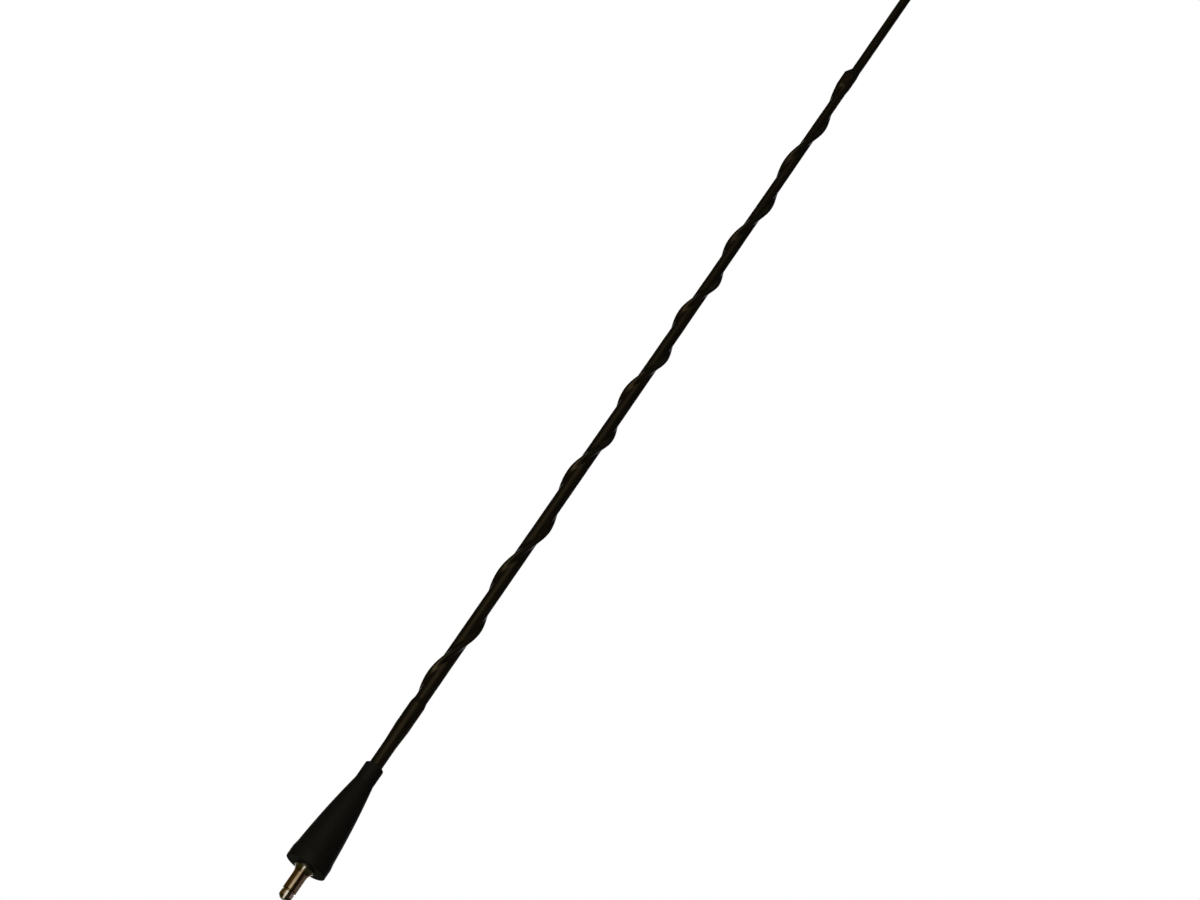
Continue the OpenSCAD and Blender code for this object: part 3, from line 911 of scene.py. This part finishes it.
BOOT_FOOT, FOOT_EDGE, BAND_TOP = 7.4, 0.2, 3.8
TAPER_FOOT, TAPER_TOP, SWELL = (7.0, 6.2), (3.4, 34.9), 0.34
BOOT_TOP, COLLAR_EDGE = 41.5, 0.7

# the swell follows 4 t (1 - t), which is 0 at both ends of the taper and 1 halfway
along = Vector(TAPER_TOP) - Vector(TAPER_FOOT)
outward = Vector((along.y, -along.x)).normalized()
taper = [tuple(Vector(TAPER_FOOT) + along * t + outward * SWELL * 4 * t * (1 - t))
         for t in np.linspace(0, 1, ARC_STEPS + 1)]
hole = float(whip_radius(SLEEVE_FOOT)) + SLEEVE_GAP + WALL + MOULD_GAP
boot_profile = (
    arc((BOOT_FOOT - FOOT_EDGE, FOOT_EDGE), FOOT_EDGE, -90, 0) + [(BOOT_FOOT, BAND_TOP)] + taper
    + arc((TAPER_TOP[0] - COLLAR_EDGE, BOOT_TOP - COLLAR_EDGE), COLLAR_EDGE, 0, 90)
    + [(hole, BOOT_TOP), (hole, FITTING_TOP + MOULD_GAP)]
    + gripped_outline(MOULD_GAP)[::-1] + [(SHOULDER + MOULD_GAP, 0.0)]
)
turned_skin("boot_skin", boot_profile, rubber, "boot")

# %% [markdown]
# ## The fitting
#
# The pin has a chamfered head, a groove for the spring catch, a plain shaft and a flare that
# closes the hole in the boot. A lathe hand breaks every sharp edge with a file or a form tool,
# and the hair of a bevel that this leaves is what glints on real turned parts. So each outer
# corner is cut back by a few hundredths of a millimetre. Polished metal shows every flat of a
# coarse arc, and the flare is finer too.

# %% Make the fitting skin
PIN, PIN_END, HEAD, HEAD_TOP, CHAMFER = 2.5, -12.9, 2.35, -10.2, 0.9
GROOVE, GROOVE_TOP, GROOVE_SLOPE = 2.05, -9.4, 0.2
FLARE_RADIUS, SHOULDER_FOOT = 4.0, -0.7
SOCKET, SOCKET_FLOOR = 1.56, 4.0
EDGE_BREAK, LEAST_BEND_DEG = 0.05, 20


def broken_edges(outline, cut):
    """The outline with each outer corner, if there is room, cut back by a small bevel."""
    result = []
    for k, corner in enumerate(outline):
        here = Vector(corner)
        back, ahead = Vector(outline[k - 1]) - here, Vector(outline[(k + 1) % len(outline)]) - here
        bend = math.degrees(math.atan2(ahead.x * back.y - ahead.y * back.x, -ahead.dot(back)))
        roomy = min(back.length, ahead.length) > 3 * cut
        if corner[0] > 0 and bend > LEAST_BEND_DEG and roomy:
            result += [tuple(here + way.normalized() * cut) for way in (back, ahead)]
        else:
            result.append(corner)
    return result


flare_turn = math.degrees(math.acos(1 - (SHOULDER - PIN) / FLARE_RADIUS))
flare_foot = SHOULDER_FOOT - FLARE_RADIUS * math.sin(math.radians(flare_turn))
fitting_profile = broken_edges(
    [(0.0, PIN_END), (HEAD - CHAMFER, PIN_END), (HEAD, PIN_END + CHAMFER), (HEAD, HEAD_TOP),
     (GROOVE, HEAD_TOP + GROOVE_SLOPE), (GROOVE, GROOVE_TOP - GROOVE_SLOPE), (PIN, GROOVE_TOP)]
    + arc((PIN + FLARE_RADIUS, flare_foot), FLARE_RADIUS, 180, 180 - flare_turn)
    + gripped_outline(0.0)
    + [(SOCKET, FITTING_TOP), (SOCKET, SOCKET_FLOOR), (0.0, SOCKET_FLOOR)], EDGE_BREAK)
fitting_skin = turned_skin("fitting_skin", fitting_profile, metal, "end_fitting")

# %% [markdown]
# The sparkle lamp is meant for the rod. Polished metal would mirror it as one hard white dot,
# so light linking takes the fitting out of the things that this lamp lights.

# %% Keep the sparkle off the fitting
sparkle_lamp.light_linking.receiver_collection = all_but("sparkle_receivers", fitting_skin)

# %% [markdown]
# ## The tip cap
#
# The cap is a plain plug with a dome, pushed over the end of the sleeve. Its lower edge is
# rounded, as moulded edges are.

# %% Make the cap skin
CAP_RADIUS, CAP_FOOT, MAST_TOP, CAP_ROOF, CAP_EDGE = 2.8, 388.0, 400.0, 3.4, 0.5
cap_hole = float(whip_radius(SLEEVE_TOP)) + SLEEVE_GAP + WALL + MOULD_GAP
cap_profile = (
    [(cap_hole, CAP_FOOT)] + arc((CAP_RADIUS - CAP_EDGE, CAP_FOOT + CAP_EDGE), CAP_EDGE, -90, 0)
    + arc((0.0, MAST_TOP - CAP_RADIUS), CAP_RADIUS, 0, 90)[:-1] + [(0.0, MAST_TOP)]
    + [(0.0, MAST_TOP - CAP_ROOF), (cap_hole, MAST_TOP - CAP_ROOF)]
)
turned_skin("cap_skin", cap_profile, cap, "tip_cap")
